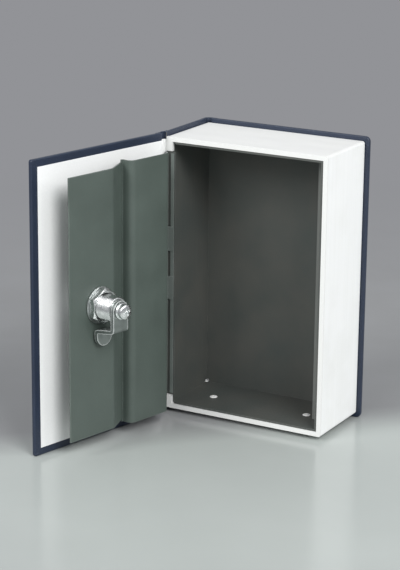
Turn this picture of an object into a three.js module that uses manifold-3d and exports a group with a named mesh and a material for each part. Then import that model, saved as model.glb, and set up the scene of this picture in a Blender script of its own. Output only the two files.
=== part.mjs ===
// A book diversion safe: a hardcover case round a page-block shell that holds a steel tub,
// with a folded steel door and a cam lock on the front cover.
// Millimetres, +Z up. Inside the book group X runs from spine to fore-edge, Y from the front
// opening to the back cover, and Z from tail to head.
import * as THREE from "three";
import { mergeVertices } from "three/addons/utils/BufferGeometryUtils.js";
import Module from "manifold-3d";

const wasm = await Module();
wasm.setup();

// Driving dimensions of the book
const COVER_HEIGHT = 180;
const BLOCK_WIDTH = 109.4;
const SQUARE = 2.8; // how far the covers stand past the page block
const TUB_DEPTH = 46.4; // inside depth of the steel tub
const SHELL_WALL = 3;
const SHELL_CORNER = 1.5;
const SHEET = 1; // steel sheet of tub, strike and door
const FIT = 0.3; // clearance between parts that slide or turn past each other
const GLUE = 0.15; // glue line between layers

// Hardcover case
const BOARD = 1.5;
const SPINE_BOARD = 1.2;
const CLOTH = 0.35;
const PAPER = 0.3;
const TURN_IN = 12;
const LINING_MARGIN = 4.65;
const JOINT_RADIUS = 4.3; // rear joint, outside
const REAR_JOINT_START = 2.45; // near edge of the back board

// Hinge
const OPEN_ANGLE = 103;
const AXIS_X = 1;
const BARREL_RADIUS = 1.5;
const PIN_RADIUS = 0.7;
const PIN_CLEARANCE = 0.1;
const BARREL_GAP = 0.35; // between barrel and the front rim
const TUB_LEAF = 0.6; // leaf thickness on the tub
const TUB_FLANGE = [0.5, 6.4]; // it lies over the shell's rim beside the hinge
const TUB_LEAF_START = 1.1; // from the barrel
const TUB_LEAF_INSET = 0.5; // from the flange's edge
const DOOR_LEAF = 0.8;
const DOOR_LEAF_EDGE = 26;
const LEAF_GAP = 0.5; // between the two leaves when shut
const HINGE_INSET = 13; // from the covers' tail and head
const KNUCKLE_SPLITS = [-16, -0.7, 15, 31]; // above the book's middle
const KNUCKLE_GAP = 0.3;
const FRONT_BOARD_START = 2.8; // from the hinge axis

// Folded steel door, measured from the lining
const HINGE_PLATE_LIFT = 16;
const LOCK_PLATE_LIFT = 17;
const TROUGH_LIFT = 8.3;
const DOOR_SIDE = 14.5;
const TROUGH_AT = 46.3;
const LOCK_PLATE_START = 62.3;
const DOOR_EDGE = 98.4;
const HINGE_PLATE_CLEARANCE = 1.1; // above and below, inside the tub
const LOCK_PLATE_STEP = 1.6; // how much shorter the lock plate is, at each end
const DOOR_SIDE_STEP = 7; // how much shorter the side and the flange under it are
const BEND = 1.5;
const SOFT_BEND = 4;
const RIVET_AT = 20.5;
const RIVET_RADIUS = 1.5;
const RIVET_HEAD_RADIUS = 3;
const RIVET_HEAD = 0.9;
const RIVET_SPREAD = 60;

// Strike on the fore-edge wall
const STRIKE_GAP = 0.3; // behind the shut door
const STRIKE_WIDTH = 9;
const STRIKE_LEG = 11;

// Cam lock
const LOCK_AT = 74; // from the hinge axis
const HOUSING_RADIUS = 8;
const HOUSING_FLATS = 14.4; // across the housing's two flats
const PLUG_RADIUS = 6;
const FACE_RING_RADIUS = 11;
const FACE_RING = 2;
const HOUSING_REACH = 14.7; // past the lock plate
const WASHER_RADIUS = 11.2;
const WASHER = 0.8;
const NUT_ACROSS = 19;
const NUT = 4;
const CAM = 2.4;
const CAM_HALF_WIDTH = 6;
const CAM_REACH = 24.2;
const CAM_BEND_AT = 12.6;
const CAM_TIP_AT = 14.8;
const CAM_GAP = 0.3; // between the turned cam and the strike
const STUB_HALF = 3.5;
const SCREW_HEAD_RADIUS = 4.5;
const SCREW_HEAD = 4.8;
const SCREW_RADIUS = 2;
const SCREW_DEPTH = 8;
const KEYWAY = [2.2, 8.4, 24]; // width, height, depth
const WAFERS = 5;
const WAFER = [5.8, 1, 10];
const WAFER_PITCH = 3.6;
const WAFER_FIRST = 5; // behind the plug's face

// White push rivets that hold the tub in the shell
const PEG_PLACES = [23.5, 89.5];
const PEG_DEPTH = 21;
const PEG_RADIUS = 1.9;
const PEG_HEAD_RADIUS = 2.5;
const PEG_HEAD = 0.6;
const PEG_BITE = 1.8; // into the shell
const RELIEF = 1.6; // corner relief of the folded tub
const NOTCH = [2.5, 4.9]; // depth and height of the reliefs at the hinge flange's ends
const LUG_REACH = 4.4; // of the shell's lugs in these reliefs

// Places that follow from the sizes above
const MIDDLE = COVER_HEIGHT / 2;
const KNUCKLES = [ // door, tub, door, tub, door
  HINGE_INSET,
  ...KNUCKLE_SPLITS.map((split) => MIDDLE + split),
  COVER_HEIGHT - HINGE_INSET,
];
const BLOCK_BOTTOM = SQUARE;
const BLOCK_TOP = COVER_HEIGHT - SQUARE;
const BLOCK_DEPTH = TUB_DEPTH + SHEET + FIT + SHELL_WALL;
const TUB_OUT = SHELL_WALL + FIT;
const TUB_IN = TUB_OUT + SHEET;
const FLOOR = BLOCK_BOTTOM + TUB_IN;
const CEILING = BLOCK_TOP - TUB_IN;
const RIGHT_WALL = BLOCK_WIDTH - TUB_IN;
const EDGE = BLOCK_WIDTH + SQUARE;
const COVER_THICK = BOARD + 2 * (CLOTH + GLUE);
const AXIS_Y = -(BARREL_GAP + BARREL_RADIUS);
const LINING_Y = -(TUB_LEAF + LEAF_GAP + DOOR_LEAF + GLUE);
const LINING = LINING_Y - AXIS_Y; // lining face in the cover's frame
const TURN_IN_FACE = LINING - PAPER - GLUE;
const OUTSIDE = TURN_IN_FACE - COVER_THICK;
const COVER_WIDTH = EDGE - AXIS_X;
const BACK_INSIDE = BLOCK_DEPTH + PAPER + 2 * GLUE;
const BACK_OUTSIDE = BACK_INSIDE + COVER_THICK;
const SPINE_IN = -GLUE;
const SPINE_OUT = SPINE_IN - SPINE_BOARD - GLUE - CLOTH;
const SPINE_FRONT = 0.6;
const SPINE_BACK = BACK_OUTSIDE - JOINT_RADIUS - GLUE;
const STRIKE_Y = LINING_Y + LOCK_PLATE_LIFT + STRIKE_GAP;
const CAM_TIP = STRIKE_Y + SHEET + CAM_GAP - LINING_Y;
const HOUSING_END = LOCK_PLATE_LIFT + HOUSING_REACH;
const CAM_FACE = HOUSING_END + FIT;
const BACK_CENTRE = (REAR_JOINT_START + EDGE) / 2;

const finishes = {
  leatherette: { color: 0x1b2b52, roughness: 0.55, metalness: 0 },
  paper: { color: 0xf2f2ee, roughness: 0.8, metalness: 0 },
  greyboard: { color: 0x8f8878, roughness: 0.95, metalness: 0 },
  pageShell: { color: 0xf4f4f0, roughness: 0.5, metalness: 0 },
  paintedSteel: { color: 0x4c514f, roughness: 0.45, metalness: 0.2 },
  zinc: { color: 0xc8cccc, roughness: 0.25, metalness: 1 },
  brass: { color: 0xb79a4e, roughness: 0.35, metalness: 1 },
};

// Solids and meshes
function toSolid(geometry) {
  const bare = geometry.clone();
  bare.deleteAttribute("normal");
  bare.deleteAttribute("uv");
  const merged = mergeVertices(bare, 1e-4);
  return new wasm.Manifold(
    new wasm.Mesh({
      numProp: 3,
      vertProperties: merged.attributes.position.array,
      triVerts: new Uint32Array(merged.index.array),
    }),
  );
}

function toGeometry(solid) {
  const mesh = solid.getMesh();
  const geometry = new THREE.BufferGeometry();
  geometry.setAttribute("position", new THREE.BufferAttribute(mesh.vertProperties, 3));
  geometry.setIndex(new THREE.BufferAttribute(mesh.triVerts, 1));
  geometry.computeVertexNormals();
  return geometry;
}

function cut(solid, ...tools) {
  return tools.reduce((left, tool) => left.subtract(tool), solid);
}

function join(solid, ...others) {
  return others.reduce((whole, other) => whole.add(other), solid);
}

function box(x0, x1, y0, y1, z0, z1) {
  const geometry = new THREE.BoxGeometry(x1 - x0, y1 - y0, z1 - z0);
  return toSolid(geometry.translate((x0 + x1) / 2, (y0 + y1) / 2, (z0 + z1) / 2));
}

// A straight round bar along Z
function upright(x, y, radius, z0, z1, sides = 24) {
  const geometry = new THREE.CylinderGeometry(radius, radius, z1 - z0, sides);
  return toSolid(geometry.rotateX(Math.PI / 2).translate(x, y, (z0 + z1) / 2));
}

// A straight round bar along Y
function level(x, z, radius, y0, y1, sides = 32) {
  const geometry = new THREE.CylinderGeometry(radius, radius, y1 - y0, sides);
  return toSolid(geometry.translate(x, (y0 + y1) / 2, z));
}

// An outline in X and Y, raised along Z
function raise(points, z0, z1) {
  const shape = new THREE.Shape(points.map(([x, y]) => new THREE.Vector2(x, y)));
  const geometry = new THREE.ExtrudeGeometry(shape, { depth: z1 - z0, bevelEnabled: false });
  return toSolid(geometry.translate(0, 0, z0));
}

function arc(x, y, radius, from, to, steps) {
  return Array.from({ length: steps + 1 }, (_, i) => {
    const angle = THREE.MathUtils.degToRad(from + ((to - from) * i) / steps);
    return [x + radius * Math.cos(angle), y + radius * Math.sin(angle)];
  });
}

// A path with its corners rounded; each point is [x, y, radius]
function roundedPath(points, steps = 4) {
  const path = [];
  points.forEach(([x, y, radius = 0], i) => {
    if (!radius || i === 0 || i === points.length - 1) {
      path.push(new THREE.Vector2(x, y));
      return;
    }
    const corner = new THREE.Vector2(x, y);
    const back = new THREE.Vector2(...points[i - 1].slice(0, 2)).sub(corner);
    const on = new THREE.Vector2(...points[i + 1].slice(0, 2)).sub(corner);
    const turn = back.angleTo(on);
    const reach = radius / Math.tan(turn / 2);
    const start = corner.clone().add(back.setLength(reach));
    const end = corner.clone().add(on.setLength(reach));
    const bend = new THREE.QuadraticBezierCurve(start, corner, end);
    path.push(...bend.getPoints(steps));
  });
  return path;
}

// A bent sheet: the outline a given thickness to both sides of a path
function sheetOutline(points, thickness) {
  const path = roundedPath(points);
  const sides = path.map((point, i) => {
    const before = path[Math.max(i - 1, 0)];
    const after = path[Math.min(i + 1, path.length - 1)];
    const into = point.clone().sub(before);
    const out = after.clone().sub(point);
    const first = i === 0 ? out.clone().normalize() : into.clone().normalize();
    const second = i === path.length - 1 ? first.clone() : out.clone().normalize();
    const normal = new THREE.Vector2(-first.y - second.y, first.x + second.x).normalize();
    const stretch = 1 / (normal.x * -first.y + normal.y * first.x);
    return [point, normal.multiplyScalar((thickness / 2) * stretch)];
  });
  const left = sides.map(([point, side]) => [point.x + side.x, point.y + side.y]);
  const right = sides.map(([point, side]) => [point.x - side.x, point.y - side.y]);
  return [...left, ...right.reverse()];
}

function place(group, name, solid, finish) {
  const mesh = new THREE.Mesh(
    toGeometry(solid),
    new THREE.MeshStandardMaterial(finishes[finish]),
  );
  mesh.name = name;
  group.add(mesh);
}

// Hardcover case: grey boards inside leatherette that is turned in over their edges
function backCover(group) {
  const start = REAR_JOINT_START + GLUE;
  const inside = BACK_INSIDE + CLOTH;
  const outside = BACK_OUTSIDE - CLOTH;
  const inner = EDGE - CLOTH;
  const wrap = cut(
    box(start, EDGE, BACK_INSIDE, BACK_OUTSIDE, 0, COVER_HEIGHT),
    box(start - 1, inner, inside, outside, CLOTH, COVER_HEIGHT - CLOTH),
    box(start - 1, EDGE - TURN_IN, BACK_INSIDE - 1, inside + 0.1, TURN_IN, COVER_HEIGHT - TURN_IN),
  );
  place(group, "back_cover_wrap", wrap, "leatherette");
  const board = box(
    start,
    inner - GLUE,
    inside + GLUE,
    outside - GLUE,
    CLOTH + GLUE,
    COVER_HEIGHT - CLOTH - GLUE,
  );
  place(group, "back_board", board, "greyboard");
  const paper = box(
    start,
    EDGE - LINING_MARGIN,
    BLOCK_DEPTH + GLUE,
    BLOCK_DEPTH + GLUE + PAPER,
    LINING_MARGIN,
    COVER_HEIGHT - LINING_MARGIN,
  );
  place(group, "back_endpaper", paper, "paper");
}

function spine(group) {
  const wrap = cut(
    box(SPINE_OUT, SPINE_IN, SPINE_FRONT, SPINE_BACK, 0, COVER_HEIGHT),
    box(
      SPINE_OUT + CLOTH,
      SPINE_IN + 1,
      SPINE_FRONT - 1,
      SPINE_BACK + 1,
      CLOTH,
      COVER_HEIGHT - CLOTH,
    ),
  );
  place(group, "spine_wrap", wrap, "leatherette");
  const board = box(
    SPINE_IN - SPINE_BOARD,
    SPINE_IN,
    SPINE_FRONT,
    SPINE_BACK,
    CLOTH + GLUE,
    COVER_HEIGHT - CLOTH - GLUE,
  );
  place(group, "spine_board", board, "greyboard");
}

// The leatherette between two boards, where the case bends
function joints(group) {
  const centre = SPINE_OUT + JOINT_RADIUS;
  const depth = BACK_OUTSIDE - JOINT_RADIUS;
  const rear = [
    ...arc(centre, depth, JOINT_RADIUS, 90, 180, 8),
    ...arc(centre, depth, JOINT_RADIUS - CLOTH, 180, 90, 8),
  ];
  place(group, "rear_joint_cloth", raise(rear, 0, COVER_HEIGHT), "leatherette");
  const outer = Math.hypot(SPINE_OUT - AXIS_X, SPINE_FRONT - AXIS_Y) + GLUE;
  const near = Math.atan2(-OUTSIDE, FRONT_BOARD_START);
  const spineSide = Math.atan2(SPINE_FRONT - AXIS_Y, AXIS_X - SPINE_OUT);
  const from = 180 - THREE.MathUtils.radToDeg(spineSide) + 5;
  const to = 360 - THREE.MathUtils.radToDeg(near) - OPEN_ANGLE - 5;
  const front = [
    ...arc(AXIS_X, AXIS_Y, outer, from, to, 8),
    ...arc(AXIS_X, AXIS_Y, outer - CLOTH, to, from, 8),
  ];
  place(group, "front_joint_cloth", raise(front, 0, COVER_HEIGHT), "leatherette");
}

// Moulded page block: five walls, open at the front
function pageShell(group) {
  const outline = [];
  const corners = [
    [BLOCK_WIDTH - SHELL_CORNER, BLOCK_TOP - SHELL_CORNER, 0],
    [SHELL_CORNER, BLOCK_TOP - SHELL_CORNER, 90],
    [SHELL_CORNER, BLOCK_BOTTOM + SHELL_CORNER, 180],
    [BLOCK_WIDTH - SHELL_CORNER, BLOCK_BOTTOM + SHELL_CORNER, 270],
  ];
  corners.forEach(([x, z, from]) => outline.push(...arc(x, z, SHELL_CORNER, from, from + 90, 4)));
  const block = raise(outline, -BLOCK_DEPTH, 0).rotate([90, 0, 0]);
  const hollow = box(
    SHELL_WALL,
    BLOCK_WIDTH - SHELL_WALL,
    -1,
    BLOCK_DEPTH - SHELL_WALL,
    BLOCK_BOTTOM + SHELL_WALL,
    BLOCK_TOP - SHELL_WALL,
  );
  const holes = PEG_PLACES.map((x) =>
    upright(
      x,
      PEG_DEPTH,
      PEG_RADIUS + FIT,
      BLOCK_BOTTOM + SHELL_WALL - PEG_BITE - FIT,
      BLOCK_TOP - SHELL_WALL + PEG_BITE + FIT,
    ),
  );
  const flangeSeat = box(
    -1,
    SHELL_WALL + 1,
    -1,
    SHEET + FIT,
    FLOOR + NOTCH[1] - FIT,
    CEILING - NOTCH[1] + FIT,
  );
  const shell = cut(block, hollow, flangeSeat);
  const lugs = [
    [BLOCK_BOTTOM + GLUE, FLOOR + NOTCH[1] - FIT],
    [CEILING - NOTCH[1] + FIT, BLOCK_TOP - GLUE],
  ].map(([low, high]) => box(GLUE, LUG_REACH, 0, NOTCH[0] - FIT, low, high));
  place(group, "page_shell", cut(join(shell, ...lugs), ...holes), "pageShell");
}

// Folded steel tub with a flange beside the hinge, corner reliefs and rivet holes
function steelTub(group) {
  const outer = box(
    TUB_OUT,
    BLOCK_WIDTH - TUB_OUT,
    0,
    TUB_DEPTH + SHEET,
    BLOCK_BOTTOM + TUB_OUT,
    BLOCK_TOP - TUB_OUT,
  );
  const inner = box(TUB_IN, RIGHT_WALL, -1, TUB_DEPTH, FLOOR, CEILING);
  const flange = box(...TUB_FLANGE, 0, SHEET, FLOOR + NOTCH[1], CEILING - NOTCH[1]);
  const notches = [
    [BLOCK_BOTTOM, FLOOR + NOTCH[1]],
    [CEILING - NOTCH[1], BLOCK_TOP],
  ].map(([low, high]) => box(TUB_OUT - 1, TUB_FLANGE[1], -1, NOTCH[0], low, high));
  const corners = [TUB_IN, RIGHT_WALL].map((x) =>
    upright(x, TUB_DEPTH, RELIEF, BLOCK_BOTTOM, BLOCK_TOP, 12),
  );
  const holes = PEG_PLACES.map((x) =>
    upright(x, PEG_DEPTH, PEG_RADIUS + FIT, BLOCK_BOTTOM, BLOCK_TOP),
  );
  const reliefs = corners.map((corner) =>
    corner.subtract(
      box(0, BLOCK_WIDTH, 0, BLOCK_DEPTH, FLOOR + RELIEF, CEILING - RELIEF),
    ),
  );
  const tub = join(cut(outer, inner), flange);
  place(group, "steel_tub", cut(tub, ...notches, ...reliefs, ...holes), "paintedSteel");
  const strike = join(
    box(RIGHT_WALL - STRIKE_WIDTH, RIGHT_WALL - GLUE, STRIKE_Y, STRIKE_Y + SHEET, FLOOR + FIT, CEILING - FIT),
    box(
      RIGHT_WALL - GLUE - SHEET,
      RIGHT_WALL - GLUE,
      STRIKE_Y,
      STRIKE_Y + STRIKE_LEG,
      FLOOR + FIT,
      CEILING - FIT,
    ),
  );
  place(group, "strike_angle", strike, "paintedSteel");
}

// Push rivets through the tub's floor and ceiling into the shell
function pegs(group) {
  PEG_PLACES.forEach((x, i) => {
    const low = join(
      upright(x, PEG_DEPTH, PEG_HEAD_RADIUS, FLOOR + GLUE, FLOOR + GLUE + PEG_HEAD),
      upright(x, PEG_DEPTH, PEG_RADIUS, FLOOR - SHEET - FIT - PEG_BITE, FLOOR + 2 * GLUE),
    );
    place(group, "floor_rivet_" + (i + 1), low, "pageShell");
    const high = join(
      upright(x, PEG_DEPTH, PEG_HEAD_RADIUS, CEILING - GLUE - PEG_HEAD, CEILING - GLUE),
      upright(x, PEG_DEPTH, PEG_RADIUS, CEILING - 2 * GLUE, CEILING + SHEET + FIT + PEG_BITE),
    );
    place(group, "ceiling_rivet_" + (i + 1), high, "pageShell");
  });
}

// Hinge: one leaf on the tub's flange, one leaf under the door, and the pin between them
function tubHinge(group) {
  const bore = PIN_RADIUS + PIN_CLEARANCE;
  const edge = TUB_FLANGE[1] - TUB_LEAF_INSET;
  let leaf = box(
    AXIS_X + BARREL_RADIUS + TUB_LEAF_START,
    edge,
    -TUB_LEAF,
    -GLUE,
    KNUCKLES[0],
    KNUCKLES[5],
  );
  [1, 3].forEach((i) => {
    const low = KNUCKLES[i] + KNUCKLE_GAP;
    const high = KNUCKLES[i + 1];
    const knuckle = join(
      upright(AXIS_X, AXIS_Y, BARREL_RADIUS, low, high),
      box(AXIS_X, edge, AXIS_Y + bore + 2 * PIN_CLEARANCE, -GLUE, low, high),
    );
    leaf = join(leaf, knuckle);
  });
  leaf = cut(leaf, upright(AXIS_X, AXIS_Y, bore, 0, COVER_HEIGHT));
  place(group, "tub_hinge_leaf", leaf, "paintedSteel");
  const pin = join(
    upright(AXIS_X, AXIS_Y, PIN_RADIUS, KNUCKLES[0] - 1, KNUCKLES[5] + 1),
    upright(AXIS_X, AXIS_Y, BARREL_RADIUS - FIT, KNUCKLES[5] + FIT, KNUCKLES[5] + 1.2),
    upright(AXIS_X, AXIS_Y, BARREL_RADIUS - FIT, KNUCKLES[0] - 1.2, KNUCKLES[0] - FIT),
  );
  place(group, "hinge_pin", pin, "zinc");
}

// Front cover, in the frame of the hinge axis: X towards the fore-edge, Y towards the inside
function frontCover(group) {
  const start = FRONT_BOARD_START;
  const inside = TURN_IN_FACE - CLOTH;
  const outside = OUTSIDE + CLOTH;
  const inner = COVER_WIDTH - CLOTH;
  const lockHole = flattedBar(FIT, OUTSIDE - 1, LINING + 1);
  const wrap = cut(
    box(start, COVER_WIDTH, OUTSIDE, TURN_IN_FACE, 0, COVER_HEIGHT),
    box(start - 1, inner, outside, inside, CLOTH, COVER_HEIGHT - CLOTH),
    box(start - 1, COVER_WIDTH - TURN_IN, inside - 0.1, LINING, TURN_IN, COVER_HEIGHT - TURN_IN),
    lockHole,
  );
  place(group, "front_cover_wrap", wrap, "leatherette");
  const rivetHoles = rivetHeights().map((z) =>
    join(
      level(RIVET_AT, z, RIVET_RADIUS + FIT, OUTSIDE, LINING + 1, 16),
      level(RIVET_AT, z, RIVET_HEAD_RADIUS + FIT, OUTSIDE, outside + 2 * GLUE + RIVET_HEAD, 20),
    ),
  );
  const board = cut(
    box(start, inner - GLUE, outside + GLUE, inside - GLUE, CLOTH + GLUE, COVER_HEIGHT - CLOTH - GLUE),
    lockHole,
    ...rivetHoles,
  );
  place(group, "front_board", board, "greyboard");
  const paper = cut(
    box(
      start,
      COVER_WIDTH - LINING_MARGIN,
      LINING - PAPER,
      LINING,
      LINING_MARGIN,
      COVER_HEIGHT - LINING_MARGIN,
    ),
    lockHole,
    ...rivetHoles,
  );
  place(group, "front_lining", paper, "paper");
}

function rivetHeights() {
  return [MIDDLE - RIVET_SPREAD, MIDDLE, MIDDLE + RIVET_SPREAD];
}

// Steel door: one sheet folded into two raised plates with a trough between them
function door(group) {
  const half = SHEET / 2;
  const low = LINING + GLUE + DOOR_LEAF + FIT + half;
  const path = [
    [DOOR_LEAF_EDGE, low],
    [DOOR_SIDE, low, BEND],
    [DOOR_SIDE, LINING + HINGE_PLATE_LIFT - half, BEND],
    [TROUGH_AT, LINING + HINGE_PLATE_LIFT - half, SOFT_BEND],
    [TROUGH_AT, LINING + TROUGH_LIFT - half, BEND],
    [LOCK_PLATE_START, LINING + LOCK_PLATE_LIFT - half, SOFT_BEND],
    [DOOR_EDGE, LINING + LOCK_PLATE_LIFT - half],
  ];
  const bottom = FLOOR + HINGE_PLATE_CLEARANCE;
  const top = CEILING - HINGE_PLATE_CLEARANCE;
  const inset = TROUGH_AT + BEND;
  const high = LINING + LOCK_PLATE_LIFT + 1;
  const holes = rivetHeights().map((z) =>
    level(RIVET_AT, z, RIVET_RADIUS + FIT, LINING, low + SHEET, 16),
  );
  const bend = LINING + HINGE_PLATE_LIFT - SHEET - BEND;
  const panel = cut(
    raise(sheetOutline(path, SHEET), bottom, top),
    box(0, DOOR_LEAF_EDGE + 1, LINING, bend, bottom - 1, bottom + DOOR_SIDE_STEP),
    box(0, DOOR_LEAF_EDGE + 1, LINING, bend, top - DOOR_SIDE_STEP, top + 1),
    box(inset, DOOR_EDGE + 1, LINING, high, bottom - 1, bottom + LOCK_PLATE_STEP),
    box(inset, DOOR_EDGE + 1, LINING, high, top - LOCK_PLATE_STEP, top + 1),
    flattedBar(FIT, LINING, high),
    ...holes,
  );
  place(group, "door_panel", panel, "paintedSteel");
}

function doorHinge(group) {
  const bore = PIN_RADIUS + PIN_CLEARANCE;
  const face = LINING + GLUE;
  let leaf = box(
    BARREL_RADIUS + 2 * FIT,
    DOOR_LEAF_EDGE,
    face,
    face + DOOR_LEAF,
    KNUCKLES[0],
    KNUCKLES[5],
  );
  [0, 2, 4].forEach((i) => {
    const low = KNUCKLES[i] + (i ? KNUCKLE_GAP : 0);
    const high = KNUCKLES[i + 1];
    const knuckle = join(
      upright(0, 0, BARREL_RADIUS, low, high),
      box(0, BARREL_RADIUS + 1, face, face + DOOR_LEAF, low, high),
    );
    leaf = join(leaf, knuckle);
  });
  const holes = rivetHeights().map((z) =>
    level(RIVET_AT, z, RIVET_RADIUS + FIT, LINING - 1, face + DOOR_LEAF + 1, 16),
  );
  leaf = cut(leaf, upright(0, 0, bore, 0, COVER_HEIGHT), ...holes);
  place(group, "door_hinge_leaf", leaf, "paintedSteel");
}

// Rivets through door flange, hinge leaf, lining and board
function doorRivets(group) {
  const flange = LINING + GLUE + DOOR_LEAF + FIT + SHEET;
  const tail = OUTSIDE + CLOTH + 2 * GLUE;
  rivetHeights().forEach((z, i) => {
    const rivet = join(
      level(RIVET_AT, z, RIVET_HEAD_RADIUS, flange + GLUE, flange + GLUE + RIVET_HEAD, 20),
      level(RIVET_AT, z, RIVET_RADIUS, tail, flange + 2 * GLUE, 16),
      level(RIVET_AT, z, RIVET_HEAD_RADIUS, tail, tail + RIVET_HEAD - FIT, 20),
    );
    place(group, "door_rivet_" + (i + 1), rivet, "zinc");
  });
}

// The housing's section: a round bar with a flat above and below
function flattedBar(clearance, y0, y1) {
  const bar = level(LOCK_AT, MIDDLE, HOUSING_RADIUS + clearance, y0, y1);
  const half = HOUSING_FLATS / 2 + clearance;
  return bar.intersect(
    box(LOCK_AT - COVER_WIDTH, COVER_WIDTH, y0 - 1, y1 + 1, MIDDLE - half, MIDDLE + half),
  );
}

// Lock housing with its face ring outside the cover, clamped by a washer and a hex nut
function lockHousing(group) {
  const bore = level(LOCK_AT, MIDDLE, PLUG_RADIUS + FIT, OUTSIDE - 10, LINING + HOUSING_END + 1);
  const face = OUTSIDE - GLUE;
  const end = LINING + HOUSING_END;
  const housing = cut(
    join(
      level(LOCK_AT, MIDDLE, FACE_RING_RADIUS, face - FACE_RING, face, 40),
      flattedBar(0, face - GLUE, end),
    ),
    bore,
  );
  place(group, "lock_housing", housing, "zinc");
  const seat = LINING + LOCK_PLATE_LIFT + GLUE;
  const hole = flattedBar(FIT, LINING, end);
  const washer = cut(level(LOCK_AT, MIDDLE, WASHER_RADIUS, seat, seat + WASHER, 40), hole);
  place(group, "lock_washer", washer, "zinc");
  const nutSeat = seat + WASHER + GLUE;
  const corner = NUT_ACROSS / Math.sqrt(3);
  const nut = cut(level(LOCK_AT, MIDDLE, corner, nutSeat, nutSeat + NUT, 6), hole);
  place(group, "lock_nut", nut, "zinc");
}

// What turns with the key, in a frame on the lock's axis
function rotor(group) {
  const face = OUTSIDE - GLUE - FACE_RING + FIT;
  const end = LINING + HOUSING_END - FIT;
  const [width, height, depth] = KEYWAY;
  const slots = [];
  for (let i = 0; i < WAFERS; i++) {
    const at = face + WAFER_FIRST + i * WAFER_PITCH;
    slots.push(
      box(-WAFER[0] / 2 - FIT, WAFER[0] / 2 + FIT, at - FIT, at + WAFER[1] + FIT, -10, 10),
    );
    const blank = box(-WAFER[0] / 2, WAFER[0] / 2, at, at + WAFER[1], -WAFER[2] / 2, WAFER[2] / 2);
    const window = box(-width / 2, width / 2, at - 1, at + 2, -height / 2 + i * FIT, height / 3);
    place(group, "wafer_" + (i + 1), cut(blank, window), "brass");
  }
  const plug = cut(
    join(
      level(0, 0, PLUG_RADIUS, face, end),
      box(-STUB_HALF, STUB_HALF, end - 1, LINING + CAM_FACE + CAM - FIT, -STUB_HALF, STUB_HALF),
    ),
    box(-width / 2, width / 2, face - 1, face + depth, -height / 2, height / 2),
    level(0, 0, SCREW_RADIUS + FIT, end - SCREW_DEPTH, end + 10, 16),
    ...slots,
  );
  place(group, "lock_plug", plug, "zinc");
}

// Cranked cam: flat on the plug's end, bent back towards the door, with a round tip
function cam(group) {
  const middle = LINING + CAM_FACE + CAM / 2;
  const tip = LINING + CAM_TIP + CAM / 2;
  const path = [
    [middle, CAM_HALF_WIDTH],
    [middle, -CAM_BEND_AT, BEND],
    [tip, -CAM_TIP_AT, BEND],
    [tip, -CAM_REACH],
  ];
  const strip = raise(
    sheetOutline(path, CAM),
    -CAM_HALF_WIDTH,
    CAM_HALF_WIDTH,
  ).rotate([90, 0, 90]);
  const outline = [
    ...arc(0, 0, CAM_HALF_WIDTH, 0, 180, 12),
    ...arc(0, -CAM_REACH + CAM_HALF_WIDTH, CAM_HALF_WIDTH, 180, 360, 12),
  ];
  const plan = raise(outline, -60, 60).rotate([90, 0, 0]);
  const room = STUB_HALF + FIT;
  const blade = cut(
    strip.intersect(plan),
    box(-room, room, middle - CAM, middle + CAM, -room, room),
  );
  place(group, "cam", blade, "zinc");
  const seat = LINING + CAM_FACE + CAM + FIT;
  const screw = join(
    level(0, 0, SCREW_HEAD_RADIUS, seat, seat + SCREW_HEAD / 2, 24),
    level(0, 0, SCREW_HEAD_RADIUS * 0.85, seat, seat + SCREW_HEAD * 0.8, 24),
    level(0, 0, SCREW_HEAD_RADIUS * 0.6, seat, seat + SCREW_HEAD, 24),
    level(0, 0, SCREW_RADIUS, LINING + HOUSING_END - SCREW_DEPTH + FIT, seat + 1, 16),
  );
  place(group, "cam_screw", screw, "zinc");
}

const book = new THREE.Group();
backCover(book);
spine(book);
joints(book);
pageShell(book);
steelTub(book);
pegs(book);
tubHinge(book);

const cover = new THREE.Group();
cover.position.set(AXIS_X, AXIS_Y, 0);
cover.rotation.z = THREE.MathUtils.degToRad(-OPEN_ANGLE);
frontCover(cover);
door(cover);
doorHinge(cover);
doorRivets(cover);
lockHousing(cover);
book.add(cover);

const lock = new THREE.Group();
lock.position.set(LOCK_AT, 0, MIDDLE);
rotor(lock);
cam(lock);
cover.add(lock);

// The part's origin is the middle of the back cover's tail edge
const part = new THREE.Group();
book.position.set(-BACK_CENTRE, -(BACK_INSIDE + BACK_OUTSIDE) / 2, 0);
part.add(book);

export default part;
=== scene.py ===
import math

import bmesh
import bpy
from mathutils import Matrix, Vector


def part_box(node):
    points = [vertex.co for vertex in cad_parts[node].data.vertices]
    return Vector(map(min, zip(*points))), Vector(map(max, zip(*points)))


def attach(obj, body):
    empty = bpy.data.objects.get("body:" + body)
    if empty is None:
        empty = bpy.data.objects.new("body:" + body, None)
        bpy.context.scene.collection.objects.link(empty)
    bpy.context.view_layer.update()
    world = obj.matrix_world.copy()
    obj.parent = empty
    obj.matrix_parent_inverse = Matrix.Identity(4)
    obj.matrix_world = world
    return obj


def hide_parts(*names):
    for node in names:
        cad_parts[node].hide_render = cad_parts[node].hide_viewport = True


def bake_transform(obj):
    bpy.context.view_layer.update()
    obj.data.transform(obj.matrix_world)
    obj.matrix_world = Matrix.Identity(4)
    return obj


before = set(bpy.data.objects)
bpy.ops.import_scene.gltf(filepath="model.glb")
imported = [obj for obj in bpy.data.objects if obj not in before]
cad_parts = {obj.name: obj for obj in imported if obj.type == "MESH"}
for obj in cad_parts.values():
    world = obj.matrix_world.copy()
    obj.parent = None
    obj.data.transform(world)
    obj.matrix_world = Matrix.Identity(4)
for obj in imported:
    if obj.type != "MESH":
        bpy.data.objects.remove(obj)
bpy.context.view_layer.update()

# Back cover of the hardcover case: a 1.5 mm grey board wrapped in dark blue leatherette.
# The leatherette is glued round the edges and turned in 12 mm on the inside, with a mitred
# fold at each free corner. It keeps the grain of its paper-backed coating.
MM = 0.001
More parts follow.
